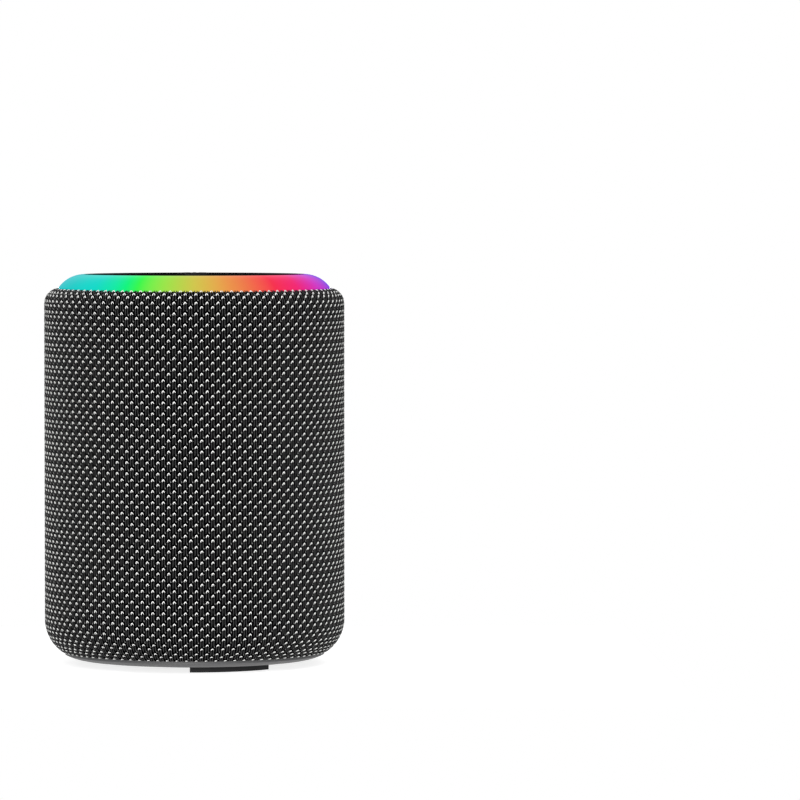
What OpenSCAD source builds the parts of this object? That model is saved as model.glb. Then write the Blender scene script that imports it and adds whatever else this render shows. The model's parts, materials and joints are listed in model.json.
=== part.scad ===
// Portable bluetooth speaker: a knitted cylinder with a domed light ring and a round
// control panel on top, standing on two arc-shaped rubber feet.
// Origin: centre of the footprint, on the table. +Z up, the front faces -Y.

/* [Body] */
// Diameter over the fabric
body_d = 84; // [80:0.5:90]
// Height from the table to the control panel
body_h = 109; // [107:0.5:125]
// Radius of the fabric's top corner
top_corner = 4.5; // [4:0.1:5]
// Radius of the fabric's bottom corner
bottom_corner = 11; // [9:0.5:12]
// Thickness of the knitted sleeve
sleeve_t = 1.2; // [1:0.1:1.4]
// Wall of the perforated tube under the sleeve
grille_t = 1.6; // [1.2:0.1:1.8]

/* [Top panel] */
// Radius of the control panel
panel_r = 30.6; // [30:0.1:31]
// Outer radius of the light ring
ring_out_r = 37.8; // [37.4:0.1:37.9]
// How far the light ring falls from its inner to its outer edge
ring_drop = 3.7; // [3:0.1:4]
// Radius of each key cap
key_r = 6; // [5.5:0.1:6.3]
// Distance from the axis to the outer keys
key_circle_r = 21.1; // [20:0.1:22]
// Height of the raised symbols
glyph_h = 0.15; // [0.1:0.05:0.5]
// Width of the symbols' strokes
glyph_stroke = 1; // [0.8:0.1:1.2]

/* [Feet and base] */
// Gap between the table and the base
foot_lift = 1.1; // [1:0.1:1.3]
// Outer radius of the arc feet
foot_out_r = 27; // [26:0.1:27.4]
// Width of the arc feet
foot_w = 3; // [2:0.1:4]
// Angle that one foot spans
foot_span = 52; // [46:1:60]
// Angle from the front to the middle of the front foot
foot_turn = 23; // [18:1:30]

/* [Sound] */
// Radius of the driver's flange
driver_r = 26; // [25.8:0.1:26.2]
// Height of the driver and the passive radiator above the table
driver_z = 63.5; // [62:0.5:65]

/* [Ports] */
// Half the width of the port cover
port_half_w = 15.7; // [15.5:0.1:15.8]
// Radius of the audio socket's bore
aux_bore_r = 1.8; // [1.76:0.01:1.85]

/* [Hidden] */
$fn = 96;
e = 0.01;
fit = 0.1;
far = 200;

body_r = body_d / 2;
grille_out = body_r - sleeve_t - fit;
grille_in = grille_out - grille_t;

// Profile of the body: two rounded corners joined by a straight side
top_arc_z = body_h - 8.1;
top_arc_r = body_r - top_corner;
base_arc_r = body_r - bottom_corner;
base_corner_z = foot_lift + 0.7;
base_arc_z = base_corner_z + bottom_corner;
sleeve_low_r = 36.3;
sleeve_top_r = ring_out_r + 0.2;

// Levels of the top stack
pad_z = body_h - 2.5;
plate_z = pad_z - 1.5;
key_bottom = body_h - 1.6;
key_board_z = body_h - 7.4;
key_board_t = 1;
key_board_r = 28.2;
switch_z = key_board_z + key_board_t;
switch_h = 1.8;
plunger_out = 0.5;
stem_r = 2.4;
shelf_z = body_h - 10.7;
shelf_top = shelf_z + 1.5;
led_board_t = 1.2;
led_board_top = shelf_top + led_board_t;
enclosure_top = shelf_z - 2.3;
ring_in_r = panel_r + 0.1;
ring_run = ring_out_r - ring_in_r;
ring_half_angle = atan(ring_drop / ring_run);
ring_arc = ring_run / sin(2 * ring_half_angle);
ring_wall = 1.6;
ring_skirt = 1.4;
mic_r = 10.4;
board_screw_r = 24.5;
top_screw_r = 25;
top_screw_turn = 20;

// Levels of the base
base_wall_r = 36.2;
base_wall_in = 34.2;
floor_z = 3.8;
base_wall_top = 31;
boss_z = 6;
corner_screw_r = 30.5;
foot_top = foot_lift + 0.9;

// Enclosure and sound parts
enclosure_r = grille_in - 0.5;
enclosure_t = 2;
baffle_y = 26.6;
baffle_t = 2.2;
gasket_t = 0.8;
driver_y = baffle_y + gasket_t;
flange_t = 1.4;
seal_t = 0.8;
driver_screw_r = 24.4;
driver_hole_r = 22.4;
radiator_hole_r = 20.2;

// Battery, board and ports
cell_r = 9.25;
cell_l = 65;
cell_z = 14;
board_z = 19;
board_t = 1.4;
board_top = board_z + board_t;
port_low = 17.2;
port_high = 27.6;
port_face_y = 37.2;
aux_x = -1.5;
aux_z = 23.1;
usb_x = -10.5;
usb_z = 22.05;
card_x = 9.1;
card_z = 21.15;

// ---------- helpers ----------

// A ring with a flat top and bottom
module ring(outer, inner, low, high) {
    translate([0, 0, low])
        difference() {
            cylinder(r = outer, h = high - low);
            translate([0, 0, -1])
                cylinder(r = inner, h = high - low + 2);
        }
}

// A disc between two heights
module disc(r, low, high) {
    translate([0, 0, low])
        cylinder(r = r, h = high - low);
}

// A block given by its two corners
module block(low, high) {
    translate(low)
        cube(high - low);
}

// A 2D rectangle given by its two corners
module area(low, high) {
    translate(low)
        square(high - low);
}

// Children copied to the four corners of a circle
module four(r, turn = 45) {
    for (k = [0:3])
        rotate([0, 0, turn + 90 * k])
            translate([r, 0, 0])
                children();
}

// The direction of a route at one of its points
function heading(points, k) =
    let (last = len(points) - 1, d = points[min(k + 1, last)] - points[max(k - 1, 0)])
    d / norm(d);

// A lead: a ring of points round each point of the route, joined into one closed tube.
// The rings line up on a direction that the route never takes, across.
module lead(points, r, across, sides = 8) {
    rings = [
        for (k = [0:len(points) - 1])
            let (t = heading(points, k), u = cross(t, across), a = u / norm(u), b = cross(t, a))
            [for (j = [0:sides - 1])
                points[k] + r * (cos(360 * j / sides) * a + sin(360 * j / sides) * b)]
    ];
    count = len(points);
    walls = [
        for (k = [0:count - 2], j = [0:sides - 1])
            let (near = k * sides, away = near + sides, next = (j + 1) % sides)
            each [[near + j, away + j, away + next], [near + j, away + next, near + next]]
    ];
    start = [for (j = [0:sides - 1]) j];
    end = [for (j = [sides - 1:-1:0]) (count - 1) * sides + j];
    polyhedron([for (loop = rings) each loop], concat(walls, [start, end]));
}

// Half section of the body, drawn in by t on every side
module body_section(t) {
    area([0, base_arc_z], [body_r - t, top_arc_z]);
    area([0, top_arc_z - e], [top_arc_r, top_arc_z + top_corner - t]);
    area([0, base_corner_z + t], [base_arc_r, base_arc_z + e]);
    translate([top_arc_r, top_arc_z])
        circle(r = top_corner - t);
    translate([base_arc_r, base_arc_z])
        circle(r = bottom_corner - t);
}

// Half section of a skin of the body, open at the top panel and at the base
module skin_section(outside, inside) {
    difference() {
        body_section(outside);
        body_section(inside);
        area([-1, -1], [sleeve_low_r, base_arc_z]);
        area([-1, top_arc_z], [sleeve_top_r, far]);
    }
}

// The opening for the ports, through every skin at the back
module port_window(margin) {
    block([-port_half_w - margin, 30, port_low - margin],
          [port_half_w + margin, body_r + 10, port_high + margin]);
}

// A screw standing head down, its shank pointing up from z = 0
module screw(head_r, head_h, shank_r, shank_l) {
    difference() {
        disc(head_r, -head_h, 0);
        translate([0, 0, -head_h + 0.3])
            cube([head_r * 1.2, 0.5, 0.7], center = true);
        translate([0, 0, -head_h + 0.3])
            cube([0.5, head_r * 1.2, 0.7], center = true);
    }
    disc(shank_r, -e, shank_l);
}

// ---------- covering ----------

module fabric_sleeve() {
    color([0.2, 0.2, 0.21])
        difference() {
            rotate_extrude()
                skin_section(0, sleeve_t);
            port_window(0.3);
        }
}

// Perforated tube: two rows of upright windows let the sound out
module grille_tube() {
    windows = 20;
    window_w = 8;
    rows = [[33, 62], [66, 95]];
    color([0.12, 0.12, 0.13])
        difference() {
            rotate_extrude()
                skin_section(sleeve_t + fit, sleeve_t + fit + grille_t);
            for (k = [0:windows - 1], row = rows)
                rotate([0, 0, 360 / windows * (k + 0.5)])
                    block([grille_in - 2, -window_w / 2, row[0]],
                          [body_r + 1, window_w / 2, row[1]]);
            port_window(0.3);
        }
}

// ---------- top panel ----------

// Chassis under the panel: plate, wall, shelf for the light board, rim on the enclosure
module top_frame() {
    wall_in = key_board_r + 0.3;
    color([0.15, 0.15, 0.16])
        difference() {
            union() {
                disc(panel_r - 0.1, plate_z, pad_z);
                ring(panel_r - 0.1, wall_in, shelf_z, plate_z + e);
                ring(grille_in - 0.1, 22, shelf_z, shelf_top);
                ring(enclosure_r, enclosure_r - 2, enclosure_top, shelf_z + e);
                four(board_screw_r)
                    disc(2.2, switch_z, plate_z + e);
            }
            for (p = key_places())
                translate([p.x, p.y, plate_z - 1])
                    cylinder(r = stem_r + 0.2, h = 4);
            translate([0, -mic_r, plate_z - 1])
                cylinder(r = 0.8, h = 4);
            four(board_screw_r)
                disc(1, switch_z - 1, plate_z + 0.9);
            four(top_screw_r, top_screw_turn)
                disc(1.3, shelf_z - 1, shelf_top + 1);
        }
}

// Domed diffuser: an arc in section, level at the panel and steep at the fabric
module light_ring() {
    centre_z = body_h - ring_arc;
    color([0.95, 0.85, 0.5, 0.9])
        rotate_extrude()
            difference() {
                intersection() {
                    translate([ring_in_r, centre_z])
                        circle(r = ring_arc);
                    area([ring_in_r, led_board_top], [ring_out_r, body_h + 1]);
                }
                intersection() {
                    translate([ring_in_r, centre_z])
                        circle(r = ring_arc - ring_wall);
                    area([ring_in_r + ring_skirt, 0], [ring_out_r - ring_skirt, body_h]);
                }
            }
}

module led_board() {
    color([0.95, 0.95, 0.93])
        ring(ring_out_r - 0.1, ring_in_r, shelf_top, led_board_top);
}

module leds() {
    count = 12;
    led_w = 3.5;
    led_h = 1.4;
    middle = (ring_in_r + ring_out_r) / 2;
    color([0.98, 0.98, 0.9])
        for (k = [0:count - 1])
            rotate([0, 0, 360 / count * k])
                block([middle - led_w / 2, -led_w / 2, led_board_top],
                      [middle + led_w / 2, led_w / 2, led_board_top + led_h]);
}

// Places of the keys: play at the front, power at the back, minus and plus at the sides
function key_places() = [
    [0, key_circle_r], [0, -key_circle_r], [-key_circle_r, 0], [key_circle_r, 0], [0, 0]
];

module control_pad() {
    color([0.25, 0.25, 0.26])
        difference() {
            disc(panel_r, pad_z, body_h);
            for (p = key_places())
                translate([p.x, p.y, pad_z - 1])
                    cylinder(r = key_r + 0.08, h = 5);
            translate([0, -mic_r, pad_z - 1])
                cylinder(r = 0.5, h = 5);
        }
}

// A stroke of a symbol between two points, with round ends
module stroke(a, b) {
    d = b - a;
    translate(a)
        rotate([0, 0, atan2(d.y, d.x)]) {
            translate([0, -glyph_stroke / 2])
                square([norm(d), glyph_stroke]);
            circle(r = glyph_stroke / 2, $fn = 32);
            translate([norm(d), 0])
                circle(r = glyph_stroke / 2, $fn = 32);
        }
}

module ring_2d(r) {
    difference() {
        circle(r = r + glyph_stroke / 2, $fn = 64);
        circle(r = r - glyph_stroke / 2, $fn = 64);
    }
}

module glyph_power() {
    difference() {
        ring_2d(3.05);
        area([-1.35, 0], [1.35, 5]);
    }
    stroke([0, 0.9], [0, 3.7]);
}

module glyph_play() {
    tip = 2.9;
    back = -2.2;
    half = 2.85;
    stroke([back, -half], [back, half]);
    stroke([back, half], [tip, 0]);
    stroke([back, -half], [tip, 0]);
}

module glyph_minus() {
    stroke([-3.05, 0], [3.05, 0]);
}

module glyph_plus() {
    glyph_minus();
    stroke([0, -3.05], [0, 3.05]);
}

module glyph_light() {
    rays = 8;
    ring_2d(1.25);
    for (k = [0:rays - 1])
        rotate([0, 0, 360 / rays * k])
            stroke([2.9, 0], [3.7, 0]);
}

// One key: cap in the pad's opening, raised symbol, stem down to its switch
module key(index) {
    p = key_places()[index];
    color([0.25, 0.25, 0.26])
        translate([p.x, p.y, 0]) {
            disc(key_r, key_bottom, body_h);
            disc(stem_r, switch_z + switch_h + plunger_out, key_bottom + e);
            translate([0, 0, body_h - e])
                linear_extrude(glyph_h + e)
                    children();
        }
}

module key_power() {
    key(0)
        glyph_power();
}

module key_play() {
    key(1)
        glyph_play();
}

module key_minus() {
    key(2)
        glyph_minus();
}

module key_plus() {
    key(3)
        glyph_plus();
}

module key_light() {
    key(4)
        glyph_light();
}

// The moving button of a tact switch
module switch_stem(index) {
    p = key_places()[index];
    top = switch_z + switch_h + plunger_out;
    color([0.85, 0.8, 0.7])
        translate([p.x, p.y, 0])
            disc(1.2, top - 1.4, top);
}

module tact_switches() {
    half = 2.25;
    color([0.75, 0.76, 0.78])
        for (p = key_places())
            translate([p.x, p.y, 0])
                difference() {
                    block([-half, -half, switch_z], [half, half, switch_z + switch_h]);
                    disc(1.28, switch_z + 0.4, switch_z + switch_h + 1);
                }
}

module key_board() {
    color([0.1, 0.3, 0.2])
        difference() {
            disc(key_board_r, key_board_z, switch_z);
            four(board_screw_r)
                disc(1, key_board_z - 1, switch_z + 1);
        }
}

module microphone() {
    color([0.8, 0.78, 0.7])
        difference() {
            block([-1.9, -mic_r - 1.5, switch_z], [1.9, -mic_r + 1.5, switch_z + 1.1]);
            translate([0, -mic_r, 0])
                disc(0.4, switch_z + 0.5, switch_z + 2);
        }
}

// ---------- sealed enclosure ----------

module enclosure_outline(inset, cap) {
    intersection() {
        disc(enclosure_r - inset, base_wall_top + cap, enclosure_top - cap);
        block([-far, -baffle_y + cap * baffle_t / enclosure_t, 0],
              [far, baffle_y - cap * baffle_t / enclosure_t, far]);
    }
}

module enclosure_walls() {
    difference() {
        enclosure_outline(0, 0);
        enclosure_outline(enclosure_t, enclosure_t);
    }
}

// Slots that let the flat cable through the floor and the roof
module cable_slots() {
    block([28.5, 10.6, 0], [29.8, 17.4, far]);
    for (x = [-14, -10])
        translate([x, 6, base_wall_top - 1])
            cylinder(r = 0.9, h = 5);
}

module enclosure_front() {
    color([0.2, 0.2, 0.22])
        difference() {
            union() {
                intersection() {
                    enclosure_walls();
                    block([-far, -far, 0], [far, -seal_t / 2, far]);
                }
                enclosure_bosses(180);
            }
            translate([0, 0, driver_z])
                rotate([90, 0, 0])
                    cylinder(r = driver_hole_r, h = far);
            translate([0, 0, driver_z])
                rotate([90, 0, 0])
                    four(driver_screw_r)
                        disc(0.95, 0, far);
            screw_holes();
        }
}

module enclosure_rear() {
    color([0.2, 0.2, 0.22])
        difference() {
            union() {
                intersection() {
                    enclosure_walls();
                    block([-far, seal_t / 2, 0], [far, far, far]);
                }
                enclosure_bosses(0);
            }
            translate([0, 0, driver_z])
                rotate([-90, 0, 0])
                    cylinder(r = radiator_hole_r, h = far);
            cable_slots();
            screw_holes();
        }
}

// One half's bosses: two legs down to the base and two posts under the roof
module enclosure_bosses(turn) {
    for (k = [0, 1]) {
        rotate([0, 0, turn + 45 + 90 * k])
            translate([corner_screw_r, 0, 0])
                disc(3, boss_z, base_wall_top + e);
        rotate([0, 0, turn + top_screw_turn + 90 * k])
            translate([top_screw_r, 0, 0])
                disc(3, enclosure_top - 9, enclosure_top - e);
    }
}

module screw_holes() {
    four(corner_screw_r)
        disc(1.25, 0, boss_z + 10);
    four(top_screw_r, top_screw_turn)
        disc(1.15, enclosure_top - 8, enclosure_top + 1);
}

// Foam strip between the two halves, along the cut
module enclosure_seal() {
    color([0.05, 0.05, 0.05])
        difference() {
            intersection() {
                enclosure_walls();
                block([-far, -seal_t / 2, 0], [far, seal_t / 2, far]);
            }
            screw_holes();
        }
}

// ---------- driver, facing the front ----------

// Puts parts drawn round their own axis onto the front baffle, facing out
module at_driver() {
    translate([0, -driver_y, driver_z])
        rotate([90, 0, 0])
            children();
}

module driver_basket() {
    color([0.1, 0.1, 0.1])
        at_driver()
            difference() {
                union() {
                    ring(driver_r, 22, 0, flange_t);
                    rotate_extrude()
                        polygon([[22.2, 0.5], [22.2, -1.6], [16.6, -11.5], [16.6, -12.7],
                                 [9.6, -12.7], [9.6, -11.5], [15.6, -11.5], [20.7, -1.4],
                                 [20.7, -0.65], [21.95, -0.65], [21.95, 0.5]]);
                }
                for (k = [0:3])
                    rotate([0, 0, 90 * k])
                        block([12, -6, -10.5], [30, 6, -1.5]);
                four(driver_screw_r)
                    disc(1.1, -1, flange_t + 1);
            }
}

module driver_gasket() {
    color([0.08, 0.08, 0.08])
        at_driver()
            difference() {
                ring(driver_r, driver_hole_r + 0.2, -gasket_t, 0);
                four(driver_screw_r)
                    disc(1.1, -gasket_t - 1, 1);
            }
}

module driver_top_plate() {
    color([0.7, 0.7, 0.72])
        at_driver()
            ring(14.5, 8.9, -15.2, -12.7);
}

module driver_magnet() {
    color([0.25, 0.25, 0.27])
        at_driver()
            ring(17, 11, -21.2, -15.2);
}

module driver_yoke() {
    color([0.7, 0.7, 0.72])
        at_driver() {
            disc(16, -23.7, -21.2);
            disc(7.5, -21.2 - e, -12.9);
        }
}

module voice_coil() {
    color([0.75, 0.45, 0.2])
        at_driver()
            ring(8.5, 7.9, -17, -7.7);
}

module driver_cone() {
    color([0.12, 0.12, 0.12])
        at_driver()
            rotate_extrude()
                polygon([[8.6, -7.5], [18.6, -1.2], [18.6, -0.6], [8.6, -6.9]]);
}

module dust_cap() {
    cap_r = 12;
    color([0.12, 0.12, 0.12])
        at_driver()
            rotate_extrude()
                intersection() {
                    translate([0, -15.27])
                        difference() {
                            circle(r = cap_r);
                            circle(r = cap_r - 0.5);
                        }
                    area([0, -7.6], [8.5, 0]);
                }
}

// A half roll of rubber between a moving plate and its frame
module half_roll(middle, outer, inner, low) {
    rotate_extrude()
        intersection() {
            translate([middle, low])
                difference() {
                    circle(r = outer);
                    circle(r = inner);
                }
            area([0, low], [far, low + outer + 1]);
        }
}

module driver_surround() {
    color([0.06, 0.06, 0.06])
        at_driver()
            half_roll(20.3, 1.6, 1.15, -0.6);
}

module driver_spider() {
    color([0.8, 0.65, 0.3])
        at_driver()
            ring(16.2, 8.6, -9.6, -9.2);
}

// ---------- passive radiator, facing the back ----------

module at_radiator() {
    translate([0, baffle_y, driver_z])
        rotate([-90, 0, 0])
            children();
}

module radiator_frame() {
    color([0.1, 0.1, 0.1])
        at_radiator()
            ring(driver_r, 20, 0, 1.6);
}

module radiator_surround() {
    color([0.06, 0.06, 0.06])
        at_radiator()
            half_roll(17.75, 2.15, 1.6, 0);
}

module radiator_plate() {
    color([0.6, 0.6, 0.62])
        at_radiator() {
            disc(15.5, 0, 1);
            disc(9, -3.5, e);
        }
}

// ---------- battery and board ----------

module battery_cell() {
    color([0.15, 0.4, 0.6])
        translate([-cell_l / 2, 0, cell_z])
            rotate([0, 90, 0]) {
                disc(cell_r, 0, cell_l - 1);
                disc(3, cell_l - 1 - e, cell_l);
            }
}

module battery_cradle() {
    color([0.2, 0.2, 0.22])
        difference() {
            block([-24, -11.5, floor_z], [24, 11.5, cell_z - 2]);
            translate([-30, 0, cell_z])
                rotate([0, 90, 0])
                    cylinder(r = cell_r + fit, h = 60);
        }
}

function board_posts() = [[-14.5, 14.5], [-14.5, 26], [14.5, 23]];

// The board's narrow end reaches through the base wall to carry the sockets
module main_board() {
    color([0.1, 0.3, 0.2])
        difference() {
            union() {
                block([-17.5, 11.5, board_z], [17.5, 28.6, board_top]);
                block([-15, 28, board_z], [15, 35.2, board_top]);
            }
            for (p = board_posts())
                translate([p.x, p.y, 0])
                    disc(1, board_z - 1, board_top + 1);
        }
}

// Amplifier, radio module, coil, plugs for the leads and the flat cable's connector
module board_parts() {
    color([0.15, 0.15, 0.16]) {
        block([-6, 13, board_top], [0, 19, board_top + 1.2]);
        block([3.5, 20, board_top], [9.5, 26, board_top + 2]);
        block([-11, 12, board_top], [-7.4, 17, board_top + 4]);
        block([-11, 19, board_top], [-7.4, 24, board_top + 4]);
        block([7.5, 11, board_top], [11.5, 17, board_top + 2.4]);
        block([2.2, 12.6, board_top], [6.7, 17.1, board_top + 3]);
    }
    color([0.15, 0.15, 0.16])
        block([11.95, 11, key_board_z - 1.7], [15.5, 17, key_board_z]);
}

// ---------- ports ----------

// A flat slot with round ends, cut along +Y
module slot_y(width, height, depth) {
    r = height / 2;
    rotate([-90, 0, 0])
        linear_extrude(depth) {
            square([width - height, height], center = true);
            for (side = [-1, 1])
                translate([side * (width / 2 - r), 0])
                    circle(r = r, $fn = 32);
        }
}

module usb_socket() {
    color([0.8, 0.8, 0.82])
        translate([usb_x, port_face_y - 7.3, usb_z]) {
            difference() {
                slot_y(8.94, 3.26, 7.3);
                translate([0, 1, 0])
                    slot_y(8.34, 2.66, 7.3);
            }
            block([-3.35, 0.9, -0.35], [3.35, 6.5, 0.35]);
        }
}

module aux_jack() {
    color([0.12, 0.12, 0.12])
        difference() {
            union() {
                block([aux_x - 3.1, 22, board_top], [aux_x + 3.1, 35.2, aux_z + 2.7]);
                translate([aux_x, 35.1, aux_z])
                    rotate([-90, 0, 0])
                        cylinder(r = 2.6, h = port_face_y - 35.1);
            }
            translate([aux_x, 22.6, aux_z])
                rotate([-90, 0, 0])
                    cylinder(r = aux_bore_r, h = 20);
        }
}

module card_slot() {
    color([0.75, 0.76, 0.78])
        difference() {
            block([card_x - 5.9, 28.2, board_top], [card_x + 5.9, port_face_y, board_top + 1.5]);
            block([card_x - 5.6, 29, board_top + 0.25],
                  [card_x + 5.6, port_face_y + 1, board_top + 1.25]);
        }
}

// Frame round the sockets: a flat face in a shallow recess
module port_bezel() {
    wall = 1.1;
    color([0.12, 0.12, 0.13])
        difference() {
            intersection() {
                disc(grille_out - 0.5, port_low, port_high);
                block([-port_half_w - 0.2, 35.4, 0], [port_half_w + 0.2, far, far]);
            }
            block([-port_half_w + wall, port_face_y, port_low + wall],
                  [port_half_w - wall, far, port_high - wall]);
            translate([usb_x, 30, usb_z])
                slot_y(9.1, 3.42, 20);
            translate([aux_x, 30, aux_z])
                rotate([-90, 0, 0])
                    cylinder(r = 2.7, h = 20);
            block([card_x - 6, 30, board_top - 0.1], [card_x + 6, 50, board_top + 1.6]);
        }
}

// Rubber flap over the sockets: it follows the body's curve and hinges at its top edge
module port_cover() {
    corner = 2;
    color([0.13, 0.13, 0.14])
        intersection() {
            ring(body_r - 0.1, grille_out - 0.2, port_low, port_high);
            translate([0, 0, (port_low + port_high) / 2])
                rotate([-90, 0, 0])
                    linear_extrude(far) {
                        square([2 * port_half_w, port_high - port_low - 2 * corner], center = true);
                        square([2 * (port_half_w - corner), port_high - port_low], center = true);
                        for (x = [-1, 1], y = [-1, 1])
                            translate([x * (port_half_w - corner),
                                       y * ((port_high - port_low) / 2 - corner)])
                                circle(r = corner, $fn = 32);
                    }
        }
}

// ---------- base ----------

// A foot's outline from above: an arc band between two angles
module foot_arc(margin, low, high, turn) {
    start = turn - foot_span / 2;
    edge = foot_out_r * 3;
    intersection() {
        ring(foot_out_r + margin, foot_out_r - foot_w - margin, low, high);
        rotate([0, 0, -90])
            linear_extrude(high)
                polygon([[0, 0], edge * [cos(start), sin(start)],
                         edge * [cos(turn), sin(turn)],
                         edge * [cos(start + foot_span), sin(start + foot_span)]]);
    }
}

module foot_front() {
    color([0.05, 0.05, 0.05])
        foot_arc(0, 0, foot_top, foot_turn);
}

module foot_rear() {
    color([0.05, 0.05, 0.05])
        rotate([0, 0, 180])
            foot_arc(0, 0, foot_top, foot_turn);
}

module base_section() {
    intersection() {
        body_section(0);
        area([0, 0], [base_wall_r, 8]);
    }
    polygon([[0, foot_lift], [foot_out_r - foot_w, foot_lift],
             [base_arc_r, base_corner_z], [base_arc_r, floor_z], [0, floor_z]]);
    area([base_wall_in, base_corner_z + 2], [base_wall_r, base_wall_top]);
}

module base_shell() {
    color([0.45, 0.45, 0.46])
        difference() {
            union() {
                difference() {
                    rotate_extrude()
                        base_section();
                    disc(base_wall_in, floor_z, far);
                }
                four(corner_screw_r)
                    disc(3.6, floor_z - e, boss_z);
                for (p = board_posts())
                    translate([p.x, p.y, 0])
                        disc(2, floor_z - e, board_z);
            }
            four(corner_screw_r) {
                disc(2.6, 0, boss_z - 1.8);
                disc(1.4, 0, boss_z + 1);
            }
            for (p = board_posts())
                translate([p.x, p.y, 0])
                    disc(1, board_z - 6, board_z + 1);
            block([-16.3, 20, port_low - 0.4], [16.3, 50, base_wall_top + 1]);
            foot_arc(fit / 2, 0, foot_top, foot_turn);
            rotate([0, 0, 180])
                foot_arc(fit / 2, 0, foot_top, foot_turn);
        }
}

// ---------- fasteners and leads ----------

module base_screws() {
    color([0.7, 0.7, 0.72])
        four(corner_screw_r)
            translate([0, 0, boss_z - 1.8])
                screw(2.3, 1.6, 1.15, 10);
}

module top_screws() {
    color([0.7, 0.7, 0.72])
        four(top_screw_r, top_screw_turn)
            translate([0, 0, shelf_top])
                mirror([0, 0, 1])
                    screw(2.1, 1.3, 1.05, 8.5);
}

module driver_screws() {
    color([0.7, 0.7, 0.72])
        at_driver()
            four(driver_screw_r)
                translate([0, 0, flange_t])
                    mirror([0, 0, 1])
                        screw(1.55, 0.7, 0.85, 4);
}

module board_screws() {
    color([0.7, 0.7, 0.72]) {
        four(board_screw_r)
            translate([0, 0, key_board_z])
                screw(1.8, 1.1, 0.9, 3.9);
        for (p = board_posts())
            translate([p.x, p.y, board_top])
                mirror([0, 0, 1])
                    screw(1.8, 1.1, 0.9, 3.9);
    }
}

// Flat cable from the main board up through the enclosure to the key board
module ribbon_cable() {
    low = 22;
    high = enclosure_top + 0.6;
    t = 0.2;
    color([0.9, 0.9, 0.85]) {
        block([11.6, 11, low], [29, 17, low + t]);
        block([29 - t, 11, low], [29, 17, high + t]);
        block([11.6, 11, high], [29, 17, high + t]);
        block([11.6, 11, high], [11.6 + t, 17, key_board_z - 0.05]);
    }
}

// Each route: up from the board, through the enclosure's floor, round to the driver's rim
module speaker_leads() {
    ends = [[-17, -18, 53.5], [-15, -18, 51]];
    color([0.8, 0.1, 0.1])
        for (k = [0, 1])
            lead([[-10 + 1.6 * k, 21.5, board_top + 4], [-10 + 1.6 * k, 21.5, 26.5],
                  [-12 + 2 * k, 13, 28.2], [-14 + 4 * k, 6.2, 30], [-14 + 4 * k, 6, 35],
                  [-18 + 2 * k, -10, 45], ends[k]], 0.5, [1, 0, 0]);
}

// Both leads leave the same end of the cell, rise and cross above it to the board
module battery_leads() {
    color([0.8, 0.1, 0.1])
        for (k = [0, 1])
            lead([[-33.2, 3 * k - 1.5, cell_z], [-33.2, 3 * k - 1.5, 23.6],
                  [-31.5, 3 * k - 0.5, 25], [-28, 3 + 2 * k, 25.4], [-17, 11 + 2 * k, 24],
                  [-13, 13.2 + 1.6 * k, 22.6], [-11, 13.2 + 1.6 * k, 22.6]], 0.5, [0, 1, 0]);
}

fabric_sleeve();
grille_tube();
top_frame();
light_ring();
led_board();
leds();
control_pad();
key_power();
key_play();
key_minus();
key_plus();
key_light();
switch_stem(0);  // switch_stem_power
switch_stem(1);  // switch_stem_play
switch_stem(2);  // switch_stem_minus
switch_stem(3);  // switch_stem_plus
switch_stem(4);  // switch_stem_light
tact_switches();
key_board();
microphone();
enclosure_front();
enclosure_rear();
enclosure_seal();
driver_basket();
driver_gasket();
driver_top_plate();
driver_magnet();
driver_yoke();
voice_coil();
driver_cone();
dust_cap();
driver_surround();
driver_spider();
radiator_frame();
radiator_surround();
radiator_plate();
battery_cell();
battery_cradle();
main_board();
board_parts();
usb_socket();
aux_jack();
card_slot();
port_bezel();
port_cover();
base_shell();
foot_front();
foot_rear();
base_screws();
top_screws();
driver_screws();
board_screws();
ribbon_cable();
speaker_leads();
battery_leads();
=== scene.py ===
"""Portable bluetooth speaker: the looks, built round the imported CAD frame.

The knitted sleeve is worked out stitch by stitch, the keys are soft reliefs, the ring glows from inside,
and every other part keeps its CAD shape and gets a finish of its own. Lengths are in metres.
"""
import json
import math

import bpy
import numpy as np
from bpy.props import FloatProperty, FloatVectorProperty, IntProperty, PointerProperty
from bpy.types import Operator, Panel, PropertyGroup
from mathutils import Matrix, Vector


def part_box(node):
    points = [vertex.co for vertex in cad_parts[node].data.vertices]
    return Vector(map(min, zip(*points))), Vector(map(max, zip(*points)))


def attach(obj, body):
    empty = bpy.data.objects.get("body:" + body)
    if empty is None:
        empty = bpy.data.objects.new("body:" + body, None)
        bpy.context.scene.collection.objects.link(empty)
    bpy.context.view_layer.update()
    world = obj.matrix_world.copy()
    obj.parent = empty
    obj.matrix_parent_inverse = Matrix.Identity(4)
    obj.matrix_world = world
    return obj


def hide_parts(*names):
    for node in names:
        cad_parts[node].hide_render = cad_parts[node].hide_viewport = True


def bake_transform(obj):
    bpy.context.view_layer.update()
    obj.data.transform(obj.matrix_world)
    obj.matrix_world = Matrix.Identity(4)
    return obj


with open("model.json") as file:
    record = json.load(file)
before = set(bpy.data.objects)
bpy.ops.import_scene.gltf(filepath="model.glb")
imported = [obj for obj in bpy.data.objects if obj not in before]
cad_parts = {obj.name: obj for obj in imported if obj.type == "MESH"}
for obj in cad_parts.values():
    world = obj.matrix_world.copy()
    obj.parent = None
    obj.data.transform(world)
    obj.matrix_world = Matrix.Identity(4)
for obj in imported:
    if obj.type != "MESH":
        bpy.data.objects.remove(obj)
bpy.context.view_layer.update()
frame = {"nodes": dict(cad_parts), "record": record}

bl_info = {
    "name": "Knitted Speaker Builder",
    "version": (1, 0, 0),
    "blender": (4, 5, 0),
    "location": "3D View > Sidebar > Speaker",
    "description": "Dresses a cylinder speaker's frame with knit, light ring, keys and finishes",
    "category": "Add Mesh",
}

MM = 0.001


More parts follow.
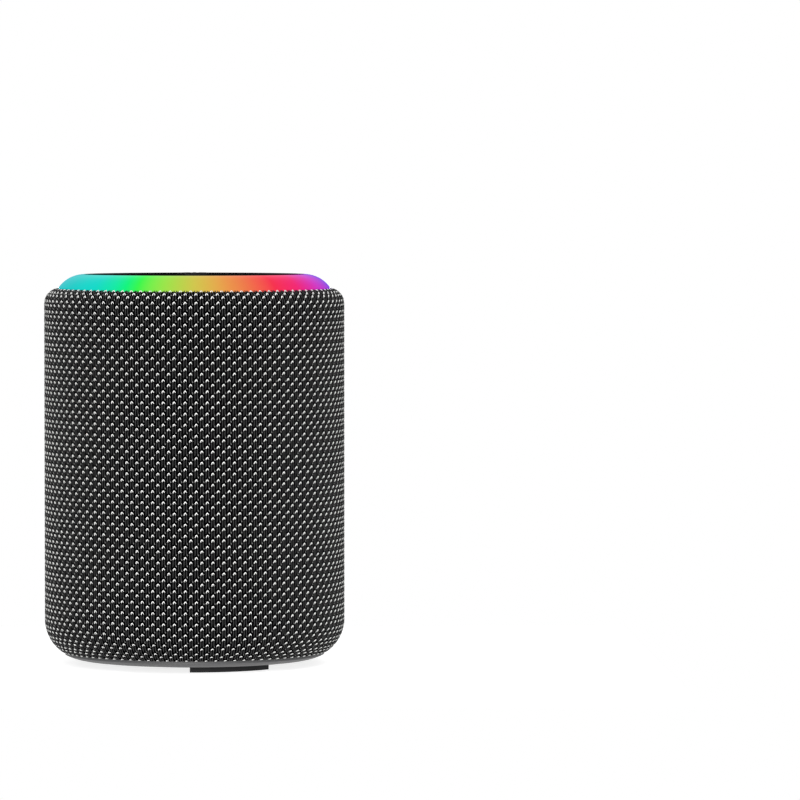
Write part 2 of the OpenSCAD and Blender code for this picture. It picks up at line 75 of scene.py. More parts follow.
# ---------- sizes and colours a user would change ----------

def length(name, description, default, low=0.0):
    """A length property in metres."""
    return FloatProperty(name=name, description=description, default=default, min=low,
                         unit="LENGTH", subtype="DISTANCE", precision=5)


def colour(name, thing, default):
    """A linear colour property."""
    return FloatVectorProperty(name=name, description=f"Colour of {thing}", default=default, size=3,
                               min=0.0, max=1.0, subtype="COLOR")


class KnitSettings(PropertyGroup):
    """The knitted sleeve."""
    wales: IntProperty(name="Wales", description="Columns of stitches round the sleeve",
                       default=174, min=40, max=240)
    pitch: length("Course pitch", "Height of one stitch", 3.02 * MM, 1 * MM)
    course: length("Course height", "Height on the straight side that one course lies at", 74.7 * MM)
    turn: FloatProperty(name="Turn", default=0.3, min=0.0, max=1.0,
                        description="How far the first wale stands right of the middle, in wales")
    stagger: FloatProperty(name="Stagger", description="How far every second wale is shifted down",
                           default=0.42, min=0.0, max=1.0, subtype="FACTOR")
    top_corner: length("Top corner", "Radius of the sleeve's top corner", 4.5 * MM)
    bottom_corner: length("Bottom corner", "Radius of the sleeve's bottom corner", 11 * MM)
    ground: length("Ground depth", "How deep the ground cloth lies under the loops", 0.62 * MM)
    fleck: colour("Fleck", "the light yarn", (0.8, 0.8, 0.785))
    leg: colour("Dark yarn", "the dark yarn", (0.034, 0.034, 0.0345))
    # The backing's colour is near-black as painted shade: it stands in for the shadow seen in the gaps
    # between the stitches
    shade: colour("Ground", "the ground cloth", (0.001, 0.001, 0.0012))


class PanelSettings(PropertyGroup):
    """The control panel and the light ring."""
    stroke: length("Stroke", "Width of the symbols' strokes", 1.0 * MM)
    soft: length("Softness", "Width of a stroke's sloping edge", 0.26 * MM)
    silicone: colour("Silicone", "the pad and the keys", (0.007, 0.007, 0.0073))
    glow: FloatProperty(name="Glow", description="Brightness of the ring", default=0.9, min=0.0, max=10.0)


class CaseSettings(PropertyGroup):
    """The base, the feet and the ports."""
    base: colour("Base", "the base", (0.047, 0.047, 0.0485))
    rubber: colour("Rubber", "the feet and the flap", (0.012, 0.012, 0.013))
    housing: colour("Housing", "the inner mouldings", (0.02, 0.02, 0.022))


class StageSettings(PropertyGroup):
    """Camera, lights and floor."""
    distance: length("Camera distance", "From the speaker's axis to the camera", 1.535)
    rise: length("Camera rise", "Camera's height above the control panel", 23 * MM)
    lens: FloatProperty(name="Lens", description="Focal length in millimetres",
                        default=247.6, min=50.0, max=400.0)
    floor: colour("Floor", "the floor", (0.5, 0.5, 0.5))
    key: FloatProperty(name="Key light", description="Power of the key light in watts",
                       default=12.0, min=0.0)


SETTINGS = {"knit": KnitSettings, "control": PanelSettings, "case": CaseSettings, "stage": StageSettings}


# ---------- meshes ----------

def make_piece(name, points, faces, material, body="root", uv=None):
    """A mesh object from points (n, 3) and a list of face arrays (m, corners), riding on a body.
    uv holds one pair of numbers per face corner, in the faces' order."""
    mesh = bpy.data.meshes.new(name)
    corners = np.concatenate([f.reshape(-1) for f in faces]).astype(np.int32)
    totals = np.concatenate([np.full(len(f), f.shape[1]) for f in faces]).astype(np.int32)
    starts = np.concatenate([[0], np.cumsum(totals)[:-1]]).astype(np.int32)
    mesh.vertices.add(len(points))
    mesh.vertices.foreach_set("co", np.ascontiguousarray(points, np.float32).reshape(-1))
    mesh.loops.add(len(corners))
    mesh.loops.foreach_set("vertex_index", corners)
    mesh.polygons.add(len(totals))
    mesh.polygons.foreach_set("loop_start", starts)
    mesh.polygons.foreach_set("loop_total", totals)
    mesh.polygons.foreach_set("use_smooth", np.full(len(totals), True))
    if uv is not None:
        layer = mesh.uv_layers.new(name="UVMap")
        layer.data.foreach_set("uv", np.ascontiguousarray(uv, np.float32).reshape(-1))
    mesh.update(calc_edges=True)
    if mesh.validate():
        raise RuntimeError(f"{name} had faces that Blender had to mend")
    piece = bpy.data.objects.new(name, mesh)
    bpy.context.scene.collection.objects.link(piece)
    mesh.materials.append(material)
    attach(piece, body)
    return piece


def grid_quads(rows, columns, wrap_rows=False, wrap_columns=False):
    """Quads between neighbouring points of a grid stored row by row. They face outwards when rows climb
    and columns run anticlockwise round +Z."""
    r = np.arange(rows if wrap_rows else rows - 1)[:, None]
    c = np.arange(columns if wrap_columns else columns - 1)[None, :]
    r2, c2 = (r + 1) % rows, (c + 1) % columns
    corners = [r * columns + c, r * columns + c2, r2 * columns + c2, r2 * columns + c]
    return np.stack(corners, -1).reshape(-1, 4)


def turned(r, z, angle):
    """Points at radius r and height z, turned by angle about the axis: (r cos a, r sin a, z)."""
    r, z, angle = np.broadcast_arrays(r, z, angle)
    return np.stack([r * np.cos(angle), r * np.sin(angle), z], -1)


def revolve(profile, columns, centre=(0.0, 0.0)):
    """A closed profile of (r, z) carried once round a vertical axis through centre.
    The profile runs anticlockwise in the half plane, so that faces point outwards."""
    angle = np.arange(columns) * 2 * math.pi / columns
    points = turned(profile[:, None, 0], profile[:, None, 1], angle[None, :])
    points[..., :2] += centre
    return points.reshape(-1, 3), grid_quads(len(profile), columns, wrap_rows=True, wrap_columns=True)


def smoothstep(low, high, x):
    """0 below low, 1 above high, and 3t^2 - 2t^3 between."""
    t = np.clip((x - low) / (high - low), 0, 1)
    return t * t * (3 - 2 * t)


# ---------- materials ----------

def arithmetic(operation, swapped=False):
    """The method behind one of Python's operators: it adds a Math node."""
    def method(self, other):
        return self.graph.math(operation, *((other, self) if swapped else (self, other)))
    return method


class Socket:
    """An output inside a graph: arithmetic on it adds Math nodes."""
    __add__, __radd__ = arithmetic("ADD"), arithmetic("ADD", swapped=True)
    __sub__, __rsub__ = arithmetic("SUBTRACT"), arithmetic("SUBTRACT", swapped=True)
    __mul__, __truediv__, __pow__ = arithmetic("MULTIPLY"), arithmetic("DIVIDE"), arithmetic("POWER")

    def __init__(self, graph, output):
        self.graph = graph
        self.output = output

    def __neg__(self):
        return self * -1.0

    def sine(self):
        return self.graph.math("SINE", self)


class Graph:
    """A node tree with one shader wired to its output."""

    def __init__(self, owner, shader, output):
        owner.use_nodes = True
        self.tree = owner.node_tree
        self.tree.nodes.clear()
        self.shader = self.tree.nodes.new(shader)
        out = self.tree.nodes.new(output)
        self.tree.links.new(self.shader.outputs[0], out.inputs[0])

    def put(self, socket, value):
        """Links an output to a socket, or sets the socket's own value."""
        if isinstance(value, Socket):
            self.tree.links.new(value.output, socket)
        elif socket.type == "RGBA":
            socket.default_value = (*value[:3], 1.0)
        else:
            socket.default_value = value

    def node(self, kind, settings=(), values=(), output=0):
        """Any node: its settings first, then its sockets, from a list or from a dict by name or index."""
        node = self.tree.nodes.new(kind)
        for key, value in dict(settings).items():
            if key == "stops":
                ramp = node.color_ramp
                while len(ramp.elements) < len(value):
                    ramp.elements.new(1.0)
                for element, (place, stop) in zip(ramp.elements, value):
                    element.position = place
                    element.color = (*stop, 1.0)
            else:
                setattr(node, key, value)
        pairs = values.items() if isinstance(values, dict) else enumerate(values)
        for key, value in pairs:
            self.put(node.inputs[key], value)
        return Socket(self, node.outputs[output])

    def math(self, operation, *values):
        """A Math node."""
        return self.node("ShaderNodeMath", {"operation": operation}, values)

    def axes(self, vector):
        """A vector's three numbers."""
        return [self.node("ShaderNodeSeparateXYZ", values=[vector], output=k) for k in range(3)]


class Finish(Graph):
    """A procedural material with one Principled BSDF. Constants go straight onto its sockets."""

    def __init__(self, name, **constants):
        self.material = bpy.data.materials.new(name)
        super().__init__(self.material, "ShaderNodeBsdfPrincipled", "ShaderNodeOutputMaterial")
        for socket, value in constants.items():
            self.put(self.shader.inputs[socket.replace("_", " ")], value)

    def place(self, scale=(1000.0, 1000.0, 1000.0), source="Object"):
        """Coordinates of the piece, stretched so that one unit is a millimetre by default."""
        where = self.node("ShaderNodeTexCoord", output=source)
        return self.node("ShaderNodeMapping", values={"Vector": where, "Scale": scale})

    def noise(self, vector, scale, detail=3.0, roughness=0.55, distortion=0.0):
        """Cloudy noise from 0 to 1."""
        return self.node("ShaderNodeTexNoise", {"normalize": True},
                         {"Vector": vector, "Scale": scale, "Detail": detail, "Roughness": roughness,
                          "Distortion": distortion})

    def cells(self, vector, scale):
        """Distance to the nearest of scattered points."""
        return self.node("ShaderNodeTexVoronoi", {"feature": "F1"}, {"Vector": vector, "Scale": scale})

    def spread(self, value, low, high, new_low=0.0, new_high=1.0):
        """Maps low..high to new_low..new_high and clamps there."""
        return self.node("ShaderNodeMapRange", {"clamp": True}, [value, low, high, new_low, new_high])

    def mix(self, factor, a, b, blend="MIX"):
        """Mixes two colours: a Mix node takes them at sockets 6 and 7, and gives the mix at output 2."""
        settings = {"data_type": "RGBA", "blend_type": blend}
        return self.node("ShaderNodeMix", settings, {0: factor, 6: a, 7: b}, 2)

    def tint(self, base, factor, amount):
        """A colour made darker and lighter by amount as factor goes from 0 to 1."""
        dark = [c * (1 - amount) for c in base]
        light = [min(1.0, c * (1 + amount)) for c in base]
        return self.mix(factor, dark, light)

    def bump(self, height, distance):
        """A Bump node; distance is the height's real size in metres."""
        return self.node("ShaderNodeBump", (), {"Height": height, "Distance": distance, "Strength": 1.0})

    def surface(self, **varying):
        """Feeds what changes over the surface, and hands back the material."""
        for socket, value in varying.items():
            self.put(self.shader.inputs[socket.replace("_", " ")], value)
        return self.material


def yarn(name, base, shine, tip=0.0):
    """Twisted yarn: slanting plies along the strand, loose fibres and uneven dye.
    The strand's own UV gives millimetres along it and turns round it. A leg is two millimetres long,
    and tip is how pale its last half millimetre is, where the next yarn shows through."""
    f = Finish(name, Sheen_Weight=shine, Sheen_Roughness=0.5, Specular_IOR_Level=0.03)
    along, around, _ = f.axes(f.place(scale=(1, 1, 1), source="UV"))
    twist = (along * 9.0 + around * 2 * math.pi * 2).sine() * 0.5 + 0.5
    fibres = f.noise(f.place(), 14.0, 4.0)
    dye = f.noise(f.place(), 0.35, 2.0)
    normal = f.bump(twist * 0.7 + fibres * 0.6, 0.035 * MM)
    shade = f.mix(twist * 0.35, base, [c * 0.55 for c in base])
    shade = f.mix(f.spread(dye, 0.3, 0.7) * 0.25, shade, [c * 0.7 for c in base])
    return f.surface(Base_Color=f.mix(f.spread(along, 1.45, 1.8) * tip, shade, (0.4, 0.4, 0.39)),
                     Roughness=f.spread(fibres, 0.3, 0.7, 0.78, 0.95), Normal=normal)


def shade_backing_cloth(name, base):
    """The backing behind the loops: fine crossing threads, near-black as painted shade in the gaps between
    the stitches.
    """
    f = Finish(name, Specular_IOR_Level=0.0)
    along, up, _ = f.axes(f.place(scale=(1, 1, 1), source="UV"))
    threads = (along * 12.0).sine() * (up * 12.0).sine() * 0.5 + 0.5
    fibres = f.noise(f.place(), 9.0, 3.0)
    return f.surface(Base_Color=f.tint(base, fibres, 0.5), Roughness=f.spread(fibres, 0.3, 0.7, 0.85, 1.0),
                     Normal=f.bump(threads * 0.7 + fibres * 0.5, 0.06 * MM))


def moulded(name, base, roughness=0.5, grain=0.02, scale=5.0, variation=0.12):
    """Moulded plastic: a fine eroded grain, slight flow marks and uneven gloss."""
    f = Finish(name, Specular_IOR_Level=0.45)
    here = f.place()
    fine = f.noise(here, scale, 4.0, 0.6)
    flow = f.noise(f.place(scale=(120, 120, 400)), 0.5, 2.0)
    return f.surface(Base_Color=f.tint(base, flow * 0.6 + fine * 0.4, variation),
                     Roughness=f.spread(fine, 0.3, 0.7, roughness - 0.08, roughness + 0.1),
                     Normal=f.bump(fine, grain * MM))


def silicone(name, base, top, roughness=0.58):
    """Soft-touch silicone: a matt skin with pores, faint smears and dust. Whatever stands above the
    pad's top, which is the symbols, is rubbed paler."""
    f = Finish(name, Specular_IOR_Level=0.0)
    here = f.place()
    pores = f.noise(here, 9.0, 3.0)
    smears = f.noise(here, 0.12, 3.0, 0.6, 0.8)
    dust = f.spread(f.noise(here, 3.5, 5.0, 0.7), 0.68, 0.8)
    height = f.axes(here)[2]
    symbol = f.spread(height, top + 0.05, top + 0.12)
    worn = f.mix(symbol, f.tint(base, smears, 0.1), (0.035, 0.035, 0.036))
    return f.surface(Base_Color=f.mix(dust * 0.06, worn, (0.2, 0.2, 0.195)),
                     Roughness=f.spread(smears, 0.3, 0.7, roughness - 0.03, roughness + 0.04) + dust * 0.05,
                     Normal=f.bump(pores, 0.008 * MM))


def rubber(name, base, roughness=0.7):
    """Moulded rubber: a coarse matt grain and a grey bloom."""
    f = Finish(name, Specular_IOR_Level=0.35)
    here = f.place()
    grain = f.noise(here, 6.0, 4.0, 0.65)
    bloom = f.noise(here, 0.3, 3.0)
    greyed = [c * 1.9 + 0.01 for c in base]
    return f.surface(Base_Color=f.mix(f.spread(bloom, 0.45, 0.75) * 0.3, base, greyed),
                     Roughness=f.spread(grain, 0.3, 0.7, roughness - 0.08, roughness + 0.12),
                     Normal=f.bump(grain, 0.03 * MM))


def plated(name, base, roughness=0.3, along=(60, 600, 600)):
    """Plated metal: fine drawing lines, spots and uneven polish."""
    f = Finish(name, Metallic=1.0)
    lines = f.noise(f.place(scale=along), 1.0, 4.0, 0.6)
    spots = f.spread(f.noise(f.place(), 1.2, 4.0), 0.55, 0.75)
    return f.surface(Base_Color=f.mix(spots * 0.15, base, [c * 0.6 for c in base]),
                     Roughness=f.spread(lines, 0.3, 0.7, roughness - 0.1, roughness + 0.12) + spots * 0.06,
                     Normal=f.bump(lines, 0.01 * MM))


def circuit(name, base):
    """Circuit board: glossy mask over raised copper tracks, with bare tinned pads."""
    f = Finish(name, Coat_Roughness=0.15, Specular_IOR_Level=0.5)
    here = f.place()
    x, y, _ = f.axes(here)
    jog = f.math("SNAP", f.noise(here, 0.25, 1.0) * 6.0, 0.5)
    tracks = f.spread(((x + jog) * 4.2).sine() * 0.5 + 0.5, 0.62, 0.72)
    across = f.spread(((y + jog) * 3.1).sine() * 0.5 + 0.5, 0.7, 0.8)
    copper = f.math("MAXIMUM", tracks, across)
    pads = f.spread(f.cells(here, 0.42), 0.2, 0.17)
    masked = f.mix(copper * 0.6, base, (base[0] * 1.5 + 0.02, base[1] * 1.7, base[2] * 1.4))
    return f.surface(Base_Color=f.mix(pads, masked, (0.7, 0.7, 0.66)), Roughness=0.28 + pads * 0.1,
                     Metallic=pads, Coat_Weight=0.4 - pads * 0.4,
                     Normal=f.bump(copper + pads * 0.5, 0.04 * MM))


def foam(name, base):
    """Closed-cell foam: round cells of two sizes."""
    f = Finish(name, Specular_IOR_Level=0.2)
    here = f.place()
    cell = f.cells(here, 4.0) + f.cells(here, 9.0) * 0.5
    # Darker in the hollows of the cells and paler on their walls, following the relief: painted shade in the
    # pits
    return f.surface(Base_Color=f.mix(f.spread(cell, 0.1, 0.8), base, [c * 2.5 + 0.01 for c in base]),
                     Roughness=f.spread(cell, 0.1, 0.9, 0.95, 0.8), Normal=f.bump(cell, 0.12 * MM))


def pulp(name, base):
    """Pressed paper pulp: short fibres lying every way under a thin varnish."""
    f = Finish(name, Specular_IOR_Level=0.3, Sheen_Weight=0.1)
    fibres = f.noise(f.place(scale=(900, 2600, 900)), 1.0, 5.0, 0.7, 1.2)
    lumps = f.noise(f.place(), 1.4, 3.0)
    return f.surface(Base_Color=f.tint(base, fibres, 0.35), Roughness=f.spread(lumps, 0.3, 0.7, 0.6, 0.85),
                     Normal=f.bump(fibres * 0.6 + lumps * 0.4, 0.05 * MM))


def woven(name, base, pitch=0.5):
    """Resin-stiffened weave of two crossing threads. The rings pressed in round the coil's axis are in the
    spider's shape, not in this finish.
    """
    f = Finish(name, Specular_IOR_Level=0.2, Sheen_Weight=0.1)
    x, _, z = f.axes(f.place())
    turn = 2 * math.pi / pitch
    weave = (x * turn).sine() * (z * turn).sine() * 0.5 + 0.5
    fibres = f.noise(f.place(), 6.0, 3.0)
    # Darker where the weave dips and paler where it rises: painted shade in the dips, with the fibres' own
    # uneven tone
    return f.surface(Base_Color=f.tint(base, weave * 0.6 + fibres * 0.4, 0.3),
                     Roughness=f.spread(fibres, 0.3, 0.7, 0.7, 0.9), Normal=f.bump(weave, 0.12 * MM))


def winding(name, base):
    """Enamelled wire wound tightly: one ridge every 0.2 mm along the coil's axis."""
    f = Finish(name, Metallic=0.85, Coat_Roughness=0.1)
    _, along, _ = f.axes(f.place())
    ridges = (along * (2 * math.pi / 0.2)).sine() * 0.5 + 0.5
    stains = f.noise(f.place(), 1.5, 3.0)
    # Darker between the turns and paler on their ridges: painted shade in the grooves, mixed with stains
    return f.surface(Base_Color=f.tint(base, ridges * 0.6 + stains * 0.4, 0.3),
                     Roughness=f.spread(stains, 0.3, 0.7, 0.2, 0.38), Normal=f.bump(ridges, 0.06 * MM),
                     Coat_Weight=0.3 + stains * 0.3)


def film(name, base, seam):
    """Shrunk or laminated film over something: creases, a long seam and conductor stripes underneath."""
    f = Finish(name, Coat_Roughness=0.1, Specular_IOR_Level=0.5)
    _, y, _ = f.axes(f.place())
    creases = f.noise(f.place(scale=(150, 700, 700)), 1.0, 3.0, 0.5, 0.6)
    stripes = f.spread((y * (2 * math.pi / seam)).sine(), 0.2, 0.5)
    worn = f.noise(f.place(), 0.6, 3.0)
    return f.surface(Base_Color=f.mix(stripes * 0.35, f.tint(base, worn, 0.15), [c * 0.55 for c in base]),
                     Roughness=f.spread(worn, 0.3, 0.7, 0.22, 0.4), Coat_Weight=0.2 + worn * 0.3,
                     Normal=f.bump(creases, 0.05 * MM))


# Stops of the ring's colours, from the minus side (0) round the front or the back to the plus side (1)
RAINBOW = [
    (0.0, (0.004, 0.533, 0.631)), (0.24, (0.007, 0.76, 0.638)), (0.3, (0.009, 0.913, 0.434)),
    (0.335, (0.008, 0.99, 0.22)), (0.365, (0.045, 1.0, 0.078)), (0.43, (0.366, 0.863, 0.078)),
    (0.5, (0.694, 0.617, 0.084)), (0.58, (0.905, 0.337, 0.08)), (0.65, (0.99, 0.141, 0.08)),
    (0.7, (1.0, 0.034, 0.084)), (0.77, (0.99, 0.022, 0.191)), (0.86, (0.665, 0.03, 0.591)),
    (0.93, (0.352, 0.031, 0.745)), (1.0, (0.091, 0.013, 0.913)),
]


def lit_diffuser(name, glow):
    """Milky plastic lit from below by coloured lights: the hue follows the angle from the minus side,
    the same round the front and the back, and the lights show as faint brighter patches."""
    f = Finish(name, Emission_Strength=glow, Specular_IOR_Level=0.01)
    here = f.place()
    x, y, _ = f.axes(here)
    reach = (x * x + y * y) ** 0.5
    turn = f.math("ARCCOSINE", -(x / reach)) / math.pi
    hue = f.node("ShaderNodeValToRGB", {"stops": RAINBOW}, [turn])
    around = f.math("ARCTAN2", y, x)
    patches = (around * 12.0).sine() * 0.5 + 0.5
    rim = f.spread(reach, 31.0, 33.0, 0.86, 1.0)
    cloud = f.noise(here, 0.4, 3.0)
    strength = f.mix(f.spread(patches * 0.5 + cloud * 0.5, 0.0, 1.0), (0.93, 0.93, 0.93), (1, 1, 1))
    lit = f.mix(1.0, hue, strength, "MULTIPLY")
    shaded = f.mix(rim, (0, 0, 0), lit)
    grain = f.noise(here, 7.0, 2.0)
    return f.surface(Base_Color=f.mix(0.03, (0, 0, 0), hue), Emission_Color=shaded,
                     Roughness=f.spread(cloud, 0.3, 0.7, 0.16, 0.26), Normal=f.bump(grain, 0.002 * MM))


def lamp_resin(name, base):
    """A lit lamp's clear resin: warm in the middle, cooler at its rim."""
    f = Finish(name, Emission_Strength=2.0, Specular_IOR_Level=0.5)
    glow = f.noise(f.place(), 0.8, 2.0)
    lit = f.tint(base, glow, 0.15)
    return f.surface(Base_Color=lit, Emission_Color=lit, Roughness=f.spread(glow, 0.3, 0.7, 0.15, 0.3))


def floor_paint(name, base):
    """The floor: a matt pale sweep with a barely seen grain."""
    f = Finish(name, Specular_IOR_Level=0.0, Emission_Color=(1, 1, 1), Emission_Strength=0.8)
    grain = f.noise(f.place(scale=(100, 100, 100)), 1.0, 3.0)
    return f.surface(Base_Color=f.tint(base, grain, 0.01), Roughness=f.spread(grain, 0.3, 0.7, 0.75, 0.85))


def finishes(case, control):
    """The finish of every slot of the record that keeps its CAD shape."""
    black = (0.012, 0.012, 0.012)
    return {
        "housing": moulded("housing_black", case.housing),
        "diffuser": lit_diffuser("ring_diffuser", control.glow),
        "white_board": circuit("lamp_board_white", (0.8, 0.8, 0.77)),
        "led": lamp_resin("lamp_resin", (0.95, 0.93, 0.8)),
        "pad": silicone("pad_silicone", control.silicone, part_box("control_pad")[1].z / MM),
        "switch_stem": moulded("switch_button", (0.72, 0.66, 0.5), 0.4),
        "plated": plated("tin_plate", (0.68, 0.68, 0.69)),
        "circuit": circuit("board_green", (0.01, 0.09, 0.04)),
        "chip": moulded("chip_epoxy", (0.015, 0.015, 0.016), 0.45, 0.01, 12.0),
        "foam": foam("seal_foam", black),
        "driver_frame": moulded("basket_black", black, 0.4),
        "steel": plated("zinc_plate", (0.56, 0.57, 0.6), 0.35, (600, 60, 600)),
        "ferrite": moulded("ferrite_grey", (0.07, 0.07, 0.08), 0.55, 0.05, 8.0),
        "copper": winding("coil_copper", (0.72, 0.34, 0.16)),
        "cone_paper": pulp("cone_pulp", (0.03, 0.03, 0.03)),
        "surround": rubber("surround_rubber", black, 0.55),
        "spider": woven("spider_weave", (0.6, 0.42, 0.16)),
        "battery_wrap": film("cell_wrap", (0.03, 0.17, 0.42), 14.0),
        "rubber_flap": rubber("flap_rubber", [c * 2.0 for c in case.rubber], 0.62),
        "base_plastic": moulded("base_grey", case.base, 0.48, 0.025, 4.0, 0.1),
        "foot_rubber": rubber("foot_rubber", case.rubber, 0.75),
        "screw_steel": plated("screw_zinc", (0.52, 0.53, 0.55), 0.32),
        "flat_cable": film("cable_film", (0.72, 0.72, 0.68), 0.5),
        "lead_red": moulded("lead_red", (0.5, 0.015, 0.015), 0.3, 0.01),
    }


# ---------- the knitted sleeve ----------

class SleeveShape:
    """The sleeve's half section: the bottom corner's arc, the straight side and the top corner's arc.
    A place on it is s metres from the bottom edge, and lies some depth inside the outer face."""

    def __init__(self, knit):
        low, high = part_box("fabric_sleeve")
        self.radius = high.x
        self.low_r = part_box("base_shell")[1].x + 0.1 * MM
        self.top_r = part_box("light_ring")[1].x + 0.2 * MM
        self.arcs = knit.bottom_corner, knit.top_corner
        self.top_z = high.z - knit.top_corner
        reach = self.low_r - (self.radius - knit.bottom_corner)
        self.low_z = low.z + math.sqrt(knit.bottom_corner ** 2 - reach ** 2)
        self.start = -math.acos(reach / knit.bottom_corner)
        self.end = math.acos((self.top_r - (self.radius - knit.top_corner)) / knit.top_corner)
        self.low_length = -self.start * knit.bottom_corner
        self.side = self.top_z - self.low_z
        self.total = self.low_length + self.side + self.end * knit.top_corner

    def at(self, s, depth):
        """Radius, height and outward normal (in r and z) at s, depth inside the outer face.
        On an arc, the point is the arc's centre plus (arc radius - depth) times the normal."""
        low_arc, top_arc = self.arcs
        past = s - self.low_length
        over = np.where(past > self.side, (past - self.side) / top_arc, 0.0)
        angle = np.where(past < 0, past / low_arc, over)
        arc = np.where(past > self.side, top_arc, low_arc)
        centre_z = np.where(past > self.side, self.top_z, self.low_z + np.clip(past, 0, self.side))
        normal = np.stack([np.cos(angle), np.sin(angle)], -1)
        r = self.radius - arc + (arc - depth) * normal[..., 0]
        z = centre_z + (arc - depth) * normal[..., 1]
        return r, z, normal

    def length_at(self, z):
        """The place s of a height on the straight side."""
        return self.low_length + z - self.low_z


def port_opening():
    """Half the angle and the two heights of the sleeve's opening for the ports."""
    low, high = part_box("port_cover")
    gap = 0.3 * MM
    return math.asin((high.x + gap) / high.y), low.z - gap, high.z + gap


def shade_backing_piece(shape, knit, material):
    """The backing behind the loops, near-black as painted shade in the gaps, as two grids, outer and inner
    (1.15 mm deep),
    joined round every edge. The outer one is the sleeve's outline at the backing's depth + 0.1 mm *
    cos(wales * angle):
    one rib a wale.
    With four columns a wale and rows set on the opening's edges, those edges fall on grid lines."""
    half_angle, port_low, port_high = port_opening()
    columns = knit.wales * 4
    step = 2 * math.pi / columns
    angle = math.pi / 2 + np.arange(columns) * step
    cuts = [shape.length_at(port_low), shape.length_at(port_high)]
    s = np.concatenate([np.linspace(0, cuts[0], 9), np.linspace(*cuts, 5)[1:-1],
                        np.linspace(cuts[1], shape.total - 7 * MM, 18),
                        np.linspace(shape.total - 7 * MM, shape.total, 12)[1:]])
    rib = 0.1 * MM * np.cos(knit.wales * (angle + math.pi / 2) - 2 * math.pi * knit.turn)
    faces = grid_quads(len(s), columns, wrap_columns=True)
    row, column = faces[:, 0] // columns, faces[:, 0] % columns
    middle_s = (s[row] + s[np.minimum(row + 1, len(s) - 1)]) / 2
    middle_a = (column + 0.5) * step
    middle_a = np.minimum(middle_a, 2 * math.pi - middle_a)
    hole = (middle_a < half_angle) & (middle_s > cuts[0]) & (middle_s < cuts[1])
    faces = faces[~hole]
    outer = turned(*shape.at(s[:, None], knit.ground + rib[None, :])[:2], angle[None, :])
    lining = np.full((1, columns), 1.15 * MM)
    inner = turned(*shape.at(s[:, None], lining)[:2], angle[None, :])
    count = outer.shape[0] * columns
    edges = np.concatenate([faces[:, [k, (k + 1) % 4]] for k in range(4)])
    key = np.sort(edges, 1) @ [count, 1]
    _, first, uses = np.unique(key, return_index=True, return_counts=True)
    rim = edges[first[uses == 1]]
    walls = np.stack([rim[:, 1], rim[:, 0], rim[:, 0] + count, rim[:, 1] + count], -1)
    points = np.concatenate([outer.reshape(-1, 3), inner.reshape(-1, 3)])
    every = np.concatenate([faces, faces[:, ::-1] + count, walls])
    along, up = np.broadcast_arrays(angle[None, :] * shape.radius * 1000, s[:, None] * 1000)
    flat = np.stack([along, up], -1).reshape(-1, 2)
    uv = np.concatenate([flat, flat])[every.reshape(-1)]
    used = np.unique(every)
    renumber = np.zeros(len(points), int)
    renumber[used] = np.arange(len(used))
    return make_piece("knit_shade_backing", points[used], [renumber[every]], material, uv=uv)


# Thickness of a strand over its width: the yarn is pressed flat
FLATNESS = 0.6


def strands(paths, normals, radii, sides):
    """Flattened tubes along many short paths at once. A ring's points are P + radius (cos q B + f sin q M),
    where B is the tangent crossed with the surface normal, M is B crossed with the tangent and f is
    FLATNESS. The uv gives millimetres along a strand and the share of a turn round it.
    paths and normals are (strands, points, 3), and radii is (points,). Returns points, faces and uv."""
    count, steps, _ = paths.shape
    tangent = np.gradient(paths, axis=1)
    tangent /= np.linalg.norm(tangent, axis=2, keepdims=True)
    across = np.cross(tangent, normals)
    across /= np.linalg.norm(across, axis=2, keepdims=True)
    out = np.cross(across, tangent)
    q = np.arange(sides) * 2 * math.pi / sides
    ring = across[:, :, None] * np.cos(q)[:, None] + out[:, :, None] * (FLATNESS * np.sin(q))[:, None]
    points = paths[:, :, None] + ring * radii[None, :, None, None]
    one = grid_quads(steps, sides, wrap_columns=True)[:, ::-1]
    caps = np.stack([np.arange(sides), (steps - 1) * sides + np.arange(sides)[::-1]])
    shift = (np.arange(count) * steps * sides)[:, None, None]
    travel = np.concatenate([np.zeros((count, 1)),
                             np.cumsum(np.linalg.norm(np.diff(paths, axis=1), axis=2), 1)], 1) * 1000
    side = one % sides
    last = (side == 0) & (side.max(1) == sides - 1)[:, None]
    turn_of = np.where(last, sides, side) / sides
    side_uv = np.stack([travel[:, one // sides], np.broadcast_to(turn_of, (count, *one.shape))], -1)
    cap_turn = np.broadcast_to((caps % sides) / sides, (count, *caps.shape))
    cap_uv = np.stack([travel[:, caps // sides], cap_turn], -1)
    faces = [(one[None] + shift).reshape(-1, 4), (caps[None] + shift).reshape(-1, sides)]
    return points.reshape(-1, 3), faces, np.concatenate([side_uv.reshape(-1, 2), cap_uv.reshape(-1, 2)])


# A stitch, in millimetres across the wale, up the wale and out of the cloth, and the strand's radius there.
# The head is a bent arch; a leg's height runs from 0 at its top to 1 at its foot.
HEAD = np.array([(-0.35, -0.52, -0.17, 0.12), (-0.31, -0.24, -0.03, 0.145), (-0.18, 0.05, 0.07, 0.16),
                 (0.03, 0.2, 0.09, 0.155), (0.22, 0.00, 0.04, 0.14), (0.34, -0.34, -0.14, 0.11)])
LEFT_LEG = np.array([(-0.40, 0.0, -0.12, 0.11), (-0.33, 0.2, 0.05, 0.15), (-0.33, 0.66, 0.06, 0.15),
                     (-0.42, 1.0, -0.12, 0.12)])
RIGHT_LEG = np.array([(0.40, 0.0, -0.12, 0.11), (0.32, 0.2, 0.04, 0.142), (0.33, 0.62, 0.05, 0.142),
                      (0.60, 1.0, 0.00, 0.13)])
LEG_TOP = -0.5
LEG_FOOT = -2.4


